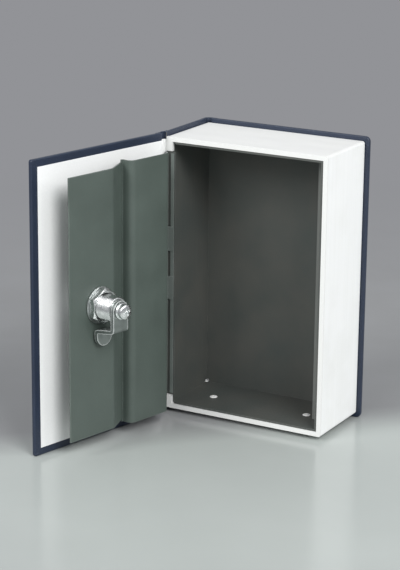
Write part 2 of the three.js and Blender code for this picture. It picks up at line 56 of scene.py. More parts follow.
BOOK = Matrix.Scale(MM, 4) @ Matrix.Translation((-57.325, -52.55, 0))  # millimetres to the part's frame
CASE_HEIGHT = 180.0
LEATHERETTE = 0.35
TURN_IN = 12.0


def finish(name):
    """A fresh material: the material, its tree, its surface shader and the place on the piece in metres."""
    material = bpy.data.materials.new(name)
    material.use_nodes = True
    tree = material.node_tree
    return (
        material,
        tree,
        tree.nodes["Principled BSDF"],
        tree.nodes.new("ShaderNodeTexCoord").outputs["Object"],
    )


def add(tree, kind, settings, sockets):
    """Adds a node, sets it up, and gives its sockets a value or a link."""
    made = tree.nodes.new("ShaderNode" + kind)
    for key, value in settings.items():
        setattr(made, key, value)
    for key, value in sockets.items():
        if isinstance(value, bpy.types.NodeSocket):
            tree.links.new(value, made.inputs[key])
        else:
            made.inputs[key].default_value = value
    return made


def spread(tree, value, low, high, to_low=0.0, to_high=1.0):
    """Stretches a texture's value from one range to another, and stops at its ends."""
    sockets = {"Value": value, "From Min": low, "From Max": high, "To Min": to_low, "To Max": to_high}
    return add(tree, "MapRange", {"clamp": True}, sockets).outputs["Result"]


def between(tree, share, first, second):
    """A colour between two others."""
    made = add(tree, "Mix", {"data_type": "RGBA"}, {0: share, 6: first, 7: second})
    return made.outputs[2]


def noise(tree, where, scale, detail=2.0, stretch=None):
    """Soft random variation, so many per metre, stretched along an axis where asked."""
    if stretch:
        where = add(tree, "Mapping", {}, {"Vector": where, "Scale": stretch}).outputs["Vector"]
    return add(tree, "TexNoise", {}, {"Vector": where, "Scale": scale, "Detail": detail}).outputs["Fac"]


def arithmetic(tree, operation, first, second):
    """One sum, such as ADD or MULTIPLY, of two values."""
    return add(tree, "Math", {"operation": operation}, {0: first, 1: second}).outputs[0]


def edges_of(tree, radius, gain):
    """1 along the piece's edges that stand out, 0 on its faces and in its inner corners."""
    soft = add(tree, "Bevel", {"samples": 4}, {"Radius": radius}).outputs["Normal"]
    true = tree.nodes.new("ShaderNodeNewGeometry").outputs["Normal"]
    dot = add(tree, "VectorMath", {"operation": "DOT_PRODUCT"}, {0: soft, 1: true})
    turned_away = spread(tree, dot.outputs["Value"], 1.0, 1.0 - gain)
    open_air = add(tree, "AmbientOcclusion", {"samples": 4, "only_local": True}, {"Distance": 4 * radius})
    return arithmetic(tree, "MULTIPLY", turned_away, spread(tree, open_air.outputs["AO"], 0.7, 0.92))


def feed(surface, socket, value):
    """Links a colour or a value to one of the surface shader's sockets."""
    surface.id_data.links.new(value, surface.inputs[socket])


def relief(tree, surface, height, depth, strength=1.0):
    """Raises the surface by a texture, with its depth in metres."""
    bump = add(tree, "Bump", {}, {"Strength": strength, "Distance": depth, "Height": height})
    feed(surface, "Normal", bump.outputs["Normal"])


def leatherette_finish():
    """Coated paper with pores and small folds, paler where its edges are rubbed."""
    material, tree, surface, where = finish("dark_blue_leatherette")
    cells = add(tree, "TexVoronoi", {"feature": "F1"}, {"Vector": where, "Scale": 1900.0})
    folds = noise(tree, where, 620.0, 3.0)
    patches = noise(tree, where, 45.0, 3.0)
    blue_share = spread(tree, patches, 0.3, 0.7)
    blue = between(tree, blue_share, (0.012, 0.0225, 0.048, 1), (0.0175, 0.0298, 0.062, 1))
    pore_share = spread(tree, cells.outputs["Distance"], 0.2, 0.75, 0.0, 0.55)
    pores = between(tree, pore_share, blue, (0.007, 0.013, 0.030, 1))
    rubbed = spread(tree, patches, 0.4, 0.62, 0.15, 0.8)
    worn = arithmetic(tree, "MULTIPLY", edges_of(tree, 0.0007, 0.12), rubbed)
    feed(surface, "Base Color", between(tree, worn, pores, (0.043, 0.061, 0.095, 1)))
    feed(surface, "Roughness", spread(tree, folds, 0.3, 0.7, 0.36, 0.52))
    surface.inputs["Specular IOR Level"].default_value = 0.55
    surface.inputs["Sheen Weight"].default_value = 0.12
    surface.inputs["Sheen Roughness"].default_value = 0.4
    pits = arithmetic(tree, "MULTIPLY", cells.outputs["Distance"], 0.8)
    relief(tree, surface, arithmetic(tree, "SUBTRACT", folds, pits), 0.00011, 0.55)
    return material


leatherette = leatherette_finish()


def piece(name, bm, place, material, body, nodes, angle=38):
    """Turns a bmesh in millimetres into a finished piece that rides on a body and stands for CAD nodes."""
    bm.transform(place)
    bmesh.ops.recalc_face_normals(bm, faces=bm.faces)
    mesh = bpy.data.meshes.new(name)
    bm.to_mesh(mesh)
    bm.free()
    mesh.shade_smooth()
    mesh.set_sharp_from_angle(angle=math.radians(angle))
    made = bpy.data.objects.new(name, mesh)
    bpy.context.scene.collection.objects.link(made)
    mesh.materials.append(material)
    weighted = made.modifiers.new("even_normals", "WEIGHTED_NORMAL")
    weighted.keep_sharp = True
    if body:
        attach(made, body)
    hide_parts(*nodes)
    return made


def rounded_outline(a0, a1, z0, z1, near_radius, far_radius):
    """A rectangle with rounded corners: near ones at a0, far ones at a1."""
    corners = [
        (a1 - far_radius, z1 - far_radius, far_radius, 0),
        (a0 + near_radius, z1 - near_radius, near_radius, 90),
        (a0 + near_radius, z0 + near_radius, near_radius, 180),
        (a1 - far_radius, z0 + far_radius, far_radius, 270),
    ]
    points = []
    for a, z, radius, start in corners:
        for step in range(7):
            turn = math.radians(start + step * 15)
            points.append((a + radius * math.cos(turn), z + radius * math.sin(turn)))
    return points


def skin(bm, rows):
    """Joins each ring of vertices to the next one with faces."""
    for one, two in zip(rows, rows[1:]):
        for i in range(len(one)):
            j = (i + 1) % len(one)
            bm.faces.new((one[i], one[j], two[j], two[i]))


def circle(radius, height, steps=96, start=0.0):
    """Points round the Z axis, at a height."""
    turns = [start + i * math.tau / steps for i in range(steps)]
    return [(radius * math.cos(turn), radius * math.sin(turn), height) for turn in turns]


def edges_round(bm, ring):
    """The edges round a ring of vertices, made where they are missing."""
    return [bm.edges.get(pair) or bm.edges.new(pair) for pair in zip(ring, ring[1:] + ring[:1])]


def sheet_of_rings(rings, hole=None):
    """Skins rings of (points, depth) and closes both ends, round a hole of (a, z, radius) if it has one."""
    bm = bmesh.new()
    rows = []
    for ring, depth in rings:
        depths = [depth(i) if callable(depth) else depth for i in range(len(ring))]
        rows.append([bm.verts.new((a, y, z)) for (a, z), y in zip(ring, depths)])
    skin(bm, rows)
    if not hole:
        bm.faces.new(rows[0][::-1])
        bm.faces.new(rows[-1])
        return bm
    middle_a, middle_z, radius = hole
    walls = []
    for row in (rows[0], rows[-1]):
        depth = row[0].co.y
        wall = [bm.verts.new((middle_a + a, depth, middle_z + z)) for a, z, _ in circle(radius, 0, 48)]
        bmesh.ops.triangle_fill(bm, use_beauty=True, edges=edges_round(bm, row) + edges_round(bm, wall))
        walls.append(wall)
    skin(bm, walls)
    return bm


def wrapped_board(width, thick, hole=None, round_over=0.75, far_radius=1.4, inner=0.6):
    """A board in its leatherette: a along the width, depth 0 outside to thick inside, z upwards."""

    def outline(inset):
        near = max(0.4 - inset, 0.3 if inset > 1 else 0.05)
        far = max(far_radius - inset, 0.4 if inset > 1 else 0.05)
        return rounded_outline(inset, width - inset, inset, CASE_HEIGHT - inset, near, far)

    def mitre(i):
        # The fold dips in the middle of each free corner and stands up beside it
        corner, step = divmod(i, 7)
        if corner in (1, 2):
            return thick
        return thick + {3: -0.16, 2: 0.04, 4: 0.04}.get(step, 0.0)

    rings = []
    for step in range(6):
        turn = math.radians(step * 18)
        rings.append((outline(round_over * (1 - math.sin(turn))), round_over * (1 - math.cos(turn))))
    for step in range(6):
        turn = math.radians(step * 18)
        rings.append((outline(inner * (1 - math.cos(turn))), thick - inner * (1 - math.sin(turn))))
    rings += [(outline(inset), mitre) for inset in (1.6, 4.0, 8.0, TURN_IN - 0.3)]
    rings.append((outline(TURN_IN), thick - LEATHERETTE))
    return sheet_of_rings(rings, hole)


BACK_WIDTH = 109.6
COVER_THICK = 2.5
BUMPED = 3.2  # radius of the corners at the fore-edge, bumped by use
back = wrapped_board(BACK_WIDTH, COVER_THICK, far_radius=BUMPED)
back_place = BOOK @ Matrix.Translation((2.6, 53.8, 0)) @ Matrix.Scale(-1, 4, (0, 1, 0))
piece("back_cover", back, back_place, leatherette, "case", ["back_cover_wrap"])

# The grey boards inside the case are pressed from waste paper, with flecks and short fibres.
# They are glued to the leatherette all over.
material, tree, surface, where = finish("grey_board")
flecks = noise(tree, where, 2600.0, 4.0)
pulp = noise(tree, where, 240.0, 4.0)
grey = between(tree, spread(tree, pulp, 0.35, 0.65), (0.24, 0.22, 0.18, 1), (0.31, 0.285, 0.235, 1))
flecked = between(tree, spread(tree, flecks, 0.62, 0.7, 0.0, 0.8), grey, (0.12, 0.11, 0.09, 1))
feed(surface, "Base Color", flecked)
feed(surface, "Roughness", spread(tree, flecks, 0.3, 0.7, 0.85, 0.97))
relief(tree, surface, flecks, 0.00008, 0.5)
for node in ("spine_board", "front_board"):
    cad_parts[node].material_slots[0].material = material
board_rings = []
for inset, depth in ((0.7, 0.5), (0.55, 0.65), (0.55, 1.85), (0.7, 2.0)):
    outline = rounded_outline(0.02, BACK_WIDTH - inset, inset, CASE_HEIGHT - inset, 0.1, BUMPED - 0.55)
    board_rings.append((outline, depth))
board = sheet_of_rings(board_rings)
piece("pressed_back_board", board, back_place, material, "case", ["back_board"])

# Spine of the case: the same leatherette over a thinner board, turned in at head and tail.
# It stands flat against the page block.
SPINE_WIDTH = 48.75
SPINE_THICK = 1.82
spine = wrapped_board(SPINE_WIDTH, SPINE_THICK, round_over=0.55, far_radius=0.4, inner=0.3)
spine_turn = Matrix.Rotation(math.radians(90), 4, "Z") @ Matrix.Scale(-1, 4, (0, 1, 0))
spine_place = BOOK @ Matrix.Translation((-1.85, 0.6, 0)) @ spine_turn
piece("spine", spine, spine_place, leatherette, "case", ["spine_wrap"])

# The two joints: where the leatherette runs free from spine to cover and bends.
# The rear one lies in a round bend. The front one is shaped as it bends round the hinge with the cover
# open.
OPEN = math.radians(-103)
HINGE = Vector((1.0, -1.85))
COVER = BOOK @ Matrix.Translation((HINGE.x, HINGE.y, 0)) @ Matrix.Rotation(OPEN, 4, "Z")


def on_cover(u, v):
    """A place on the open cover, measured from the hinge axis, as a place in the book."""
    x = HINGE.x + u * math.cos(OPEN) - v * math.sin(OPEN)
    y = HINGE.y + u * math.sin(OPEN) + v * math.cos(OPEN)
    return (x, y)


def smooth_line(points, steps):
    """A smooth line through points."""
    ends = [points[0], *points, points[-1]]
    line = []
    for run in zip(ends, ends[1:], ends[2:], ends[3:]):
        for step in range(steps):
            t = step / steps
            place = []
            for a, b, c, d in zip(*run):
                bend = (2 * a - 5 * b + 4 * c - d) * t * t + (3 * b - a - 3 * c + d) * t**3
                place.append(0.5 * (2 * b + (c - a) * t + bend))
            line.append(tuple(place))
    return line + [points[-1]]


def pulled_in(point, middle, share):
    """A point of the strip's outline, drawn towards its middle to a share of its distance."""
    return tuple(m + (p - m) * share for p, m in zip(point, middle))


def cloth_strip(line, thick, outward, low=0.0, high=CASE_HEIGHT):
    """Leatherette or paper that runs along a line, between two heights, with soft ends."""
    outer, inner = [], []
    for i, (x, y) in enumerate(line):
        (x0, y0), (x1, y1) = line[max(i - 1, 0)], line[min(i + 1, len(line) - 1)]
        side = Vector((y1 - y0, x0 - x1)).normalized() * outward
        outer.append((x + side.x * 0.04, y + side.y * 0.04))
        inner.append((x - side.x * thick, y - side.y * thick))
    middle = [((a + c) / 2, (b + d) / 2) for (a, b), (c, d) in zip(outer, inner)]
    bm = bmesh.new()
    rows = []
    softened = ((0.02, 0.2), (0.06, 0.75), (0.25, 1.0))
    heights = [(low + rise, share) for rise, share in softened]
    heights += [(high - rise, share) for rise, share in softened[::-1]]
    for z, share in heights:
        row = [pulled_in(p, m, share) for p, m in zip(outer + inner[::-1], middle + middle[::-1])]
        rows.append([bm.verts.new((x, y, z)) for x, y in row])
    skin(bm, rows)
    half = len(line)
    for row in (rows[0], rows[-1]):
        for i in range(half - 1):
            bm.faces.new((row[i], row[i + 1], row[-2 - i], row[-1 - i]))
    return bm


def round_hinge(radius, degrees):
    """A place beside the hinge axis, at a radius."""
    turn = math.radians(degrees)
    return (HINGE.x + radius * math.cos(turn), HINGE.y + radius * math.sin(turn))


JOINT_RADIUS = 4.3
rear_bend = []
for degrees in range(180, 89, -9):
    turn = math.radians(degrees)
    rear_bend.append((2.45 + JOINT_RADIUS * math.cos(turn), 49.5 + JOINT_RADIUS * math.sin(turn)))
rear_line = [(-1.85, 46.5), (-1.85, 48.0), *rear_bend, (4.2, 53.8), (5.8, 53.8)]
rear = cloth_strip(rear_line, 0.33, -1)
piece("rear_joint", rear, BOOK, leatherette, "case", ["rear_joint_cloth"])
front_bend = [round_hinge(3.93, a) for a in (146, 156, 166, 176, 186, 195, 202)]
along_cover = [on_cover(3.1, -3.16), on_cover(4.4, -3.15), on_cover(6.0, -3.15)]
front_line = smooth_line([(-1.85, 4.2), (-1.85, 2.6), (-1.88, 1.3), *front_bend, *along_cover], 5)
front = cloth_strip(front_line, 0.33, -1)
joint = piece("front_joint", front, BOOK, leatherette, None, ["front_joint_cloth"])
MID_HEIGHT = CASE_HEIGHT / 2
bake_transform(joint)

# Page block: one white moulded plastic shell, open at the front, glued into the case.
# Its outer faces carry the fine lines of closed pages, which run along head, tail and fore-edge, and its
# front rim and head carry painted shade.


def eased(node, name, material, body, edge, steps=2, sharp=24):
    """A CAD node's shape with its edges rounded off, as a piece of its own."""
    bm = bmesh.new()
    bm.from_mesh(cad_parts[node].data)
    bmesh.ops.remove_doubles(bm, verts=bm.verts, dist=2e-6)
    bmesh.ops.dissolve_limit(bm, angle_limit=math.radians(0.8), verts=bm.verts, edges=bm.edges)
    hard = [e for e in bm.edges if len(e.link_faces) == 2 and e.calc_face_angle(0) > math.radians(sharp)]
    shape = {"segments": steps, "profile": 0.5, "affect": "EDGES", "clamp_overlap": True}
    bmesh.ops.bevel(bm, geom=hard, offset=edge * MM, **shape)
    return piece(name, bm, Matrix.Identity(4), material, body, [node])


material, tree, surface, where = finish("white_page_block")
pages = noise(tree, where, 1.0, 3.0, (7.0, 2300.0, 7.0))
waves = noise(tree, where, 26.0, 2.0, (1.0, 6.0, 1.0))
soil = noise(tree, where, 34.0, 4.0)
white = between(tree, spread(tree, pages, 0.35, 0.6), (0.86, 0.865, 0.855, 1), (0.90, 0.905, 0.90, 1))
on_block = add(tree, "SeparateXYZ", {}, {"Vector": where})
RIM_AT, HEAD_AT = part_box("page_shell")[0][1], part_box("page_shell")[1][2]
# Painted shade: the front rim and the head get a darker white, to hold them down under the strong lamps.
clear_of_rim_shade = spread(tree, on_block.outputs["Y"], RIM_AT + 0.4 * MM, RIM_AT + 1.2 * MM)
clear_of_head_shade = spread(tree, on_block.outputs["Z"], HEAD_AT - 1.2 * MM, HEAD_AT - 0.3 * MM, 1.0, 0.0)
white = between(tree, arithmetic(tree, "MULTIPLY", clear_of_rim_shade, clear_of_head_shade), (0.75, 0.755, 0.74, 1), white)
soiled = between(tree, spread(tree, soil, 0.5, 0.75, 0.0, 0.35), white, (0.76, 0.76, 0.73, 1))
feed(surface, "Base Color", soiled)
feed(surface, "Roughness", spread(tree, waves, 0.3, 0.7, 0.42, 0.56))
surface.inputs["Subsurface Weight"].default_value = 0.06
surface.inputs["Subsurface Radius"].default_value = (0.002, 0.002, 0.0018)
page_lines = arithmetic(tree, "ADD", pages, arithmetic(tree, "MULTIPLY", waves, 1.5))
relief(tree, surface, page_lines, 0.00006, 0.45)
eased("page_shell", "page_block", material, "case", 0.4, 3)

# Steel tub: folded from 1 mm sheet and powder coated grey, then slid into the page block.
# The coat has a fine orange peel, a few scuffs, and is thin along the folds.


def paint_finish(name, low, high, wear_and_highlight_colour, wear_and_highlight_reach=0.0004):
    """Powder coat between two greys, with another in its specks and along its worn edges; with a wider
    reach, as on the door, the edge colour is partly a painted highlight on the folds.
    """
    material, tree, surface, where = finish(name)
    peel = noise(tree, where, 950.0, 2.0)
    clouds = noise(tree, where, 38.0, 4.0)
    streaks = noise(tree, where, 1.0, 3.0, (900.0, 900.0, 16.0))
    grain = noise(tree, where, 5200.0, 2.0)
    coat = between(tree, spread(tree, clouds, 0.3, 0.7), low, high)
    speckled = between(tree, spread(tree, grain, 0.58, 0.74, 0.0, 0.4), coat, wear_and_highlight_colour)
    rubbed = spread(tree, clouds, 0.42, 0.6, 0.2, 0.75)
    # Pale along the edges: wear, and where the reach is wide, also a painted highlight along the folds.
    worn_and_highlit_edges = arithmetic(tree, "MULTIPLY", edges_of(tree, wear_and_highlight_reach, 0.2), rubbed)
    feed(surface, "Base Color", between(tree, worn_and_highlit_edges, speckled, wear_and_highlight_colour))
    smoother = spread(tree, streaks, 0.4, 0.7, 0.0, -0.08)
    feed(surface, "Roughness", arithmetic(tree, "ADD", smoother, spread(tree, clouds, 0.3, 0.7, 0.38, 0.5)))
    surface.inputs["Metallic"].default_value = 0.0
    surface.inputs["Specular IOR Level"].default_value = 0.42
    height = arithmetic(tree, "ADD", peel, arithmetic(tree, "MULTIPLY", grain, 0.35))
    relief(tree, surface, height, 0.00003, 0.5)
    return material


tub_paint = paint_finish(
    "grey_tub_paint", (0.070, 0.079, 0.074, 1), (0.092, 0.094, 0.085, 1), (0.19, 0.20, 0.19, 1)
)
eased("steel_tub", "tub", tub_paint, "case", 0.35, 3)

# Strike: a folded strip spot-welded into the tub's fore-edge corner, in a lighter coat than the tub's.
# The lock's cam catches behind it.
strike_paint = paint_finish(
    "light_grey_strike_paint", (0.150, 0.158, 0.148, 1), (0.175, 0.183, 0.172, 1), (0.26, 0.27, 0.26, 1)
)
eased("strike_angle", "strike", strike_paint, "case", 0.25, 2)

# Push rivets of white nylon: pressed through tub and page block, two in the floor and two above.
# Each has a low domed head with the mark of its mould gate.
PEG_DEPTH = 21.0
PEG_HEAD = [(0.0, 0.50), (0.35, 0.50), (0.5, 0.62), (0.9, 0.68), (1.5, 0.62), (2.05, 0.45)]
PEG_HEAD += [(2.35, 0.25), (2.5, 0.08), (2.45, 0.0), (1.9, 0.0)]
PEG_SHANK = [(1.9, -1.0), (1.75, -1.3), (1.9, -1.6), (1.75, -1.9), (1.9, -2.2)]
PEG_SHANK += [(1.6, -2.9), (0.8, -3.0), (0.0, -3.0)]

material, tree, surface, where = finish("white_nylon")
cast = noise(tree, where, 700.0, 3.0)
milky = between(tree, spread(tree, cast, 0.35, 0.65), (0.80, 0.80, 0.78, 1), (0.87, 0.87, 0.85, 1))
feed(surface, "Base Color", milky)
feed(surface, "Roughness", spread(tree, cast, 0.3, 0.7, 0.3, 0.45))
surface.inputs["Subsurface Weight"].default_value = 0.15
surface.inputs["Subsurface Radius"].default_value = (0.0015, 0.0015, 0.0012)
relief(tree, surface, cast, 0.00003, 0.4)


def turned(profile, steps=48):
    """Turned about Z from (radius, height) points, which run from axis to axis or meet in a loop."""
    bm = bmesh.new()
    rows = []
    for radius, height in profile:
        points = [(0, 0, height)] if radius < 1e-6 else circle(radius, height, steps)
        rows.append([bm.verts.new(point) for point in points])
    pairs = list(zip(rows, rows[1:]))
    if len(rows[0]) > 1 and len(rows[-1]) > 1:
        pairs.append((rows[-1], rows[0]))
    for one, two in pairs:
        for i in range(steps):
            j = (i + 1) % steps
            corners = [one[i % len(one)], one[j % len(one)], two[j % len(two)], two[i % len(two)]]
            bm.faces.new(list(dict.fromkeys(corners)))
    return bm


PEG_PLACES = (23.5, 89.5)
FLOOR, CEILING = 7.25, 172.75
for number, x in enumerate(PEG_PLACES, 1):
    for where_to, z, up in (("floor", FLOOR, 1), ("ceiling", CEILING, -1)):
        place = BOOK @ Matrix.Translation((x, PEG_DEPTH, z)) @ Matrix.Scale(up, 4, (0, 0, 1))
        peg = turned(PEG_HEAD + PEG_SHANK)
        node = f"{where_to}_rivet_{number}"
        piece(f"push_rivet_{where_to}_{number}", peg, place, material, "case", [node])

# Hinge: two stamped steel leaves with rolled knuckles, painted with the steel they are fixed to.
# One leaf is welded to the tub's flange and the other lies under the door.
hinge_paint = paint_finish(
    "grey_hinge_paint", (0.145, 0.168, 0.156, 1), (0.172, 0.197, 0.184, 1), (0.30, 0.31, 0.305, 1)
)
eased("tub_hinge_leaf", "tub_leaf", hinge_paint, "case", 0.12, 2)
eased("door_hinge_leaf", "door_leaf", hinge_paint, "cover", 0.12, 2)

# Hinge pin: a bright drawn wire through all five knuckles, peened over at both ends.
# It stays in the tub's knuckles.
PIN_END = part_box("hinge_pin")[0][2] / MM
HEAD = [(0.0, -0.05), (0.6, 0.0), (1.0, 0.3), (1.2, 0.7), (1.05, 1.1), (0.7, 1.3)]
PIN = [(r, PIN_END + z) for r, z in HEAD] + [(r, CASE_HEIGHT - PIN_END - z) for r, z in HEAD[::-1]]

material, tree, surface, where = finish("bright_steel_wire")
drawn = noise(tree, where, 1.0, 3.0, (5000.0, 5000.0, 40.0))
steel = between(tree, spread(tree, drawn, 0.35, 0.65), (0.30, 0.31, 0.31, 1), (0.46, 0.47, 0.47, 1))
feed(surface, "Base Color", steel)
feed(surface, "Roughness", spread(tree, drawn, 0.3, 0.7, 0.25, 0.42))
surface.inputs["Metallic"].default_value = 1.0
relief(tree, surface, drawn, 0.00002, 0.3)
bright_wire = material
pin_place = BOOK @ Matrix.Translation((HINGE.x, HINGE.y, 0))
piece("hinge_wire", turned(PIN, 24), pin_place, bright_wire, "case", ["hinge_pin"])

# Front cover: board and leatherette like the back cover, with one round hole for the lock.
# It turns with the door that is riveted to its inside.
LOCK_AT = 74.0
LOCK_HEIGHT = MID_HEIGHT
LOCK_HOLE = 8.3
FRONT_START = 2.8  # from the hinge axis
FRONT_WIDTH = 108.4
front_wrap = wrapped_board(FRONT_WIDTH, COVER_THICK, hole=(LOCK_AT - FRONT_START, LOCK_HEIGHT, LOCK_HOLE))
front_place = COVER @ Matrix.Translation((FRONT_START, -3.15, 0))
piece("front_cover", front_wrap, front_place, leatherette, "cover", ["front_cover_wrap"])

# Linings: smooth white paper pasted inside the covers, over the turned-in leatherette.
# The edge of the turn-in shows through the front one as a low step, and a strip of the
# same paper covers the joint behind the hinge, shaped round it for the open cover.
material, tree, surface, where = finish("white_lining_paper")
fibres = noise(tree, where, 1.0, 4.0, (2600.0, 2600.0, 900.0))
paste = noise(tree, where, 60.0, 3.0)
stains = noise(tree, where, 22.0, 4.0)
paper = between(tree, spread(tree, fibres, 0.35, 0.65), (0.865, 0.87, 0.865, 1), (0.905, 0.91, 0.905, 1))
stained = between(tree, spread(tree, stains, 0.52, 0.75, 0.0, 0.3), paper, (0.76, 0.755, 0.72, 1))
feed(surface, "Base Color", stained)
feed(surface, "Roughness", spread(tree, paste, 0.3, 0.7, 0.62, 0.8))
pasted = arithmetic(tree, "ADD", arithmetic(tree, "MULTIPLY", fibres, 0.25), paste)
relief(tree, surface, pasted, 0.00008, 0.4)
MARGIN = 4.65  # of leatherette left round the lining
LINING_WIDTH = FRONT_WIDTH - MARGIN
LINING_HEIGHT = CASE_HEIGHT - 2 * MARGIN
lining_section = [(0.1, 0.0), (0.0, 0.1), (0.0, 0.32), (0.04, 0.40), (0.12, 0.43)]
lining_section += [(6.9, 0.43), (7.7, 0.33), (12.0, 0.33)]
lining_rings = []
for inset, depth in lining_section:
    outline = rounded_outline(inset, LINING_WIDTH - inset, inset, LINING_HEIGHT - inset, 0.2, 0.25)
    lining_rings.append((outline, depth))
lining = sheet_of_rings(lining_rings, hole=(LOCK_AT - FRONT_START, LOCK_HEIGHT - MARGIN, LOCK_HOLE))
lining_place = COVER @ Matrix.Translation((FRONT_START, -0.63, MARGIN))
piece("lining", lining, lining_place, material, "cover", ["front_lining"])
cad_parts["back_endpaper"].material_slots[0].material = material
under_bend = [round_hinge(3.33, a) for a in (156, 166, 176, 186, 196)]
on_lining = [on_cover(3.2, -0.5), on_cover(4.6, -0.14)]
hinge_line = smooth_line([(0.02, 0.42), (-0.6, 0.4), (-1.35, 0.28), *under_bend, *on_lining], 5)
hinge_strip = cloth_strip(hinge_line, 0.16, -1, MARGIN, CASE_HEIGHT - MARGIN)
hinge_paper = piece("joint_lining", hinge_strip, BOOK, material, None, [])
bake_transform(hinge_paper)

# Door: one steel sheet folded into two raised plates with a sloped trough between them.
# It is powder coated a greenish grey and riveted through its hidden flange.
# The door's pale edge colour reaches about twice as far as on the other paints: partly wear, partly a
# painted highlight along its folds.
DOOR_WEAR_AND_HIGHLIGHT = (0.20, 0.225, 0.21, 1)
door_paint = paint_finish(
    "greenish_grey_door_paint", (0.071, 0.091, 0.080, 1), (0.086, 0.110, 0.097, 1), DOOR_WEAR_AND_HIGHLIGHT, 0.0009
)
eased("door_panel", "door", door_paint, "cover", 0.28, 3, 33)

# Door rivets: steel, closed through door flange, hinge leaf, lining and board.
# They are plated and hidden behind the door's plate.
for number in (1, 2, 3):
    eased(f"door_rivet_{number}", f"flange_rivet_{number}", bright_wire, "cover", 0.2, 2)

# Lock housing: a chromed zinc casting, a threaded barrel with two flats and a round face outside.
# The thread holds the nut, and the flats keep the barrel from turning in the cover.
LOCK = COVER @ Matrix.Translation((LOCK_AT, 0, LOCK_HEIGHT)) @ Matrix.Rotation(math.radians(-90), 4, "X")
BARREL = 8.0
FLAT = 7.2
THREAD = 1.0
BARREL_END = 31.5
BORE = 6.25


def plated_finish(name, colour, dark, rough, scratches, wear):
    """Plated metal with fine lines, so many per metre along each axis, under a darker film in patches."""
    material, tree, surface, where = finish(name)
    cast = noise(tree, where, 900.0, 4.0)
    lines = noise(tree, where, 1.0, 3.0, scratches)
    film = noise(tree, where, 170.0, 3.0)
    tint = between(tree, spread(tree, film, 0.42, 0.72, 0.0, wear), colour, dark)
    feed(surface, "Base Color", tint)
    scratched = spread(tree, lines, 0.35, 0.7, *rough)
    feed(surface, "Roughness", arithmetic(tree, "ADD", scratched, spread(tree, film, 0.45, 0.75, 0.0, 0.1)))
    surface.inputs["Metallic"].default_value = 1.0
    height = arithmetic(tree, "ADD", cast, arithmetic(tree, "MULTIPLY", lines, 0.6))
    relief(tree, surface, height, 0.00001, 0.3)
    return material


CAST_LINES = (900.0, 900.0, 900.0)
chrome = plated_finish(
    "chromed_zinc", (0.86, 0.875, 0.87, 1), (0.58, 0.60, 0.595, 1), (0.2, 0.32), CAST_LINES, 0.5
)


def barrel_ring(radius, height, pitch=None, steps=96):
    """A ring of the barrel, cut off at its flats, with a thread of a pitch round it where one is given."""
    ring = []
    for i in range(steps):
        angle = i * math.tau / steps
        reach = radius
        if pitch:
            phase = (height / pitch - i / steps) % 1.0
            reach = radius - 0.5 * pitch * abs(2 * phase - 1) * 0.85
        across = reach * math.sin(angle)
        across = max(-FLAT, min(FLAT, across))
        ring.append((reach * math.cos(angle), across, height))
    return ring


def bored(rows, bore):
    """Skins rings from one end of a barrel to the other, and lines it with a round bore."""
    bm = bmesh.new()
    inside = [circle(bore, row[0][2], len(row)) for row in (rows[-1], rows[0])]
    made = [[bm.verts.new(point) for point in row] for row in rows + inside]
    skin(bm, made + made[:1])
    return bm


UNDER_FACE = -3.3
THREAD_START = 14.5
rim = [(7.4, -4.95), (8.6, -5.05), (9.9, -5.32), (10.6, -5.2), (10.95, -4.9), (11.0, -4.5)]
rim += [(11.0, -3.75), (10.85, -3.45), (10.5, UNDER_FACE)]
rows = [circle(radius, height) for radius, height in rim]
rows += [barrel_ring(BARREL, UNDER_FACE), barrel_ring(BARREL, THREAD_START - 0.5)]
height = THREAD_START
while height < BARREL_END - 0.9:
    rows.append(barrel_ring(BARREL, height, THREAD))
    height += THREAD / 7
rows += [barrel_ring(radius, BARREL_END - down) for radius, down in ((7.5, 0.5), (7.2, 0.12), (7.0, 0))]
rows.append(circle(6.5, BARREL_END))
piece("lock_barrel", bored(rows, BORE), LOCK, chrome, "cover", ["lock_housing"])

# Washer: stamped zinc-plated steel between door plate and nut, slightly dished.
# Its rim is rounded by the stamping.
STAMPED_LINES = (1400.0, 1400.0, 1400.0)
satin_zinc = plated_finish(
    "satin_zinc_plate", (0.62, 0.645, 0.635, 1), (0.40, 0.425, 0.415, 1), (0.24, 0.38), STAMPED_LINES, 0.6
)
WASHER = [(8.3, 16.97), (10.9, 16.97), (11.15, 17.05), (11.2, 17.3), (11.15, 17.55)]
WASHER += [(10.9, 17.68), (9.6, 17.75), (8.5, 17.75), (8.3, 17.62)]
piece("washer", turned(WASHER, 72), LOCK, satin_zinc, "cover", ["lock_washer"])

# Hex nut: 19 mm across its flats, nickel plated, chamfered on both faces.
# It clamps the cover and the door plate on the barrel.
NUT_FLATS = 19.0
NUT_LOW, NUT_HIGH = 17.9, 21.9


def nut_ring(height, chamfered):
    """A six-sided ring whose corners dip by the chamfer, up or down."""
    ring = []
    for i in range(96):
        angle = i * math.tau / 96
        # A corner points up
        from_corner = (angle - math.pi / 2 + math.pi / 6) % (math.pi / 3) - math.pi / 6
        reach = NUT_FLATS / 2 / math.cos(math.pi / 6 - abs(from_corner))
        drop = (reach - NUT_FLATS / 2) * math.tan(math.radians(32))
        ring.append((reach * math.cos(angle), reach * math.sin(angle), height + chamfered * drop))
    return ring


nut_rows = [
    circle(8.5, NUT_LOW),
    circle(NUT_FLATS / 2 - 0.1, NUT_LOW),
    nut_ring(NUT_LOW + 0.05, 1),
    nut_ring(NUT_HIGH - 0.05, -1),
    circle(NUT_FLATS / 2 - 0.1, NUT_HIGH),
    circle(8.7, NUT_HIGH),
    circle(8.05, NUT_HIGH - 0.6),
]
TURNED_LINES = (700.0, 700.0, 700.0)
nickel = plated_finish(
    "nickel_plate", (0.88, 0.90, 0.895, 1), (0.60, 0.625, 0.615, 1), (0.2, 0.32), TURNED_LINES, 0.35
)
piece("hex_nut", bored(nut_rows, 8.05), LOCK, nickel, "cover", ["lock_nut"], 28)

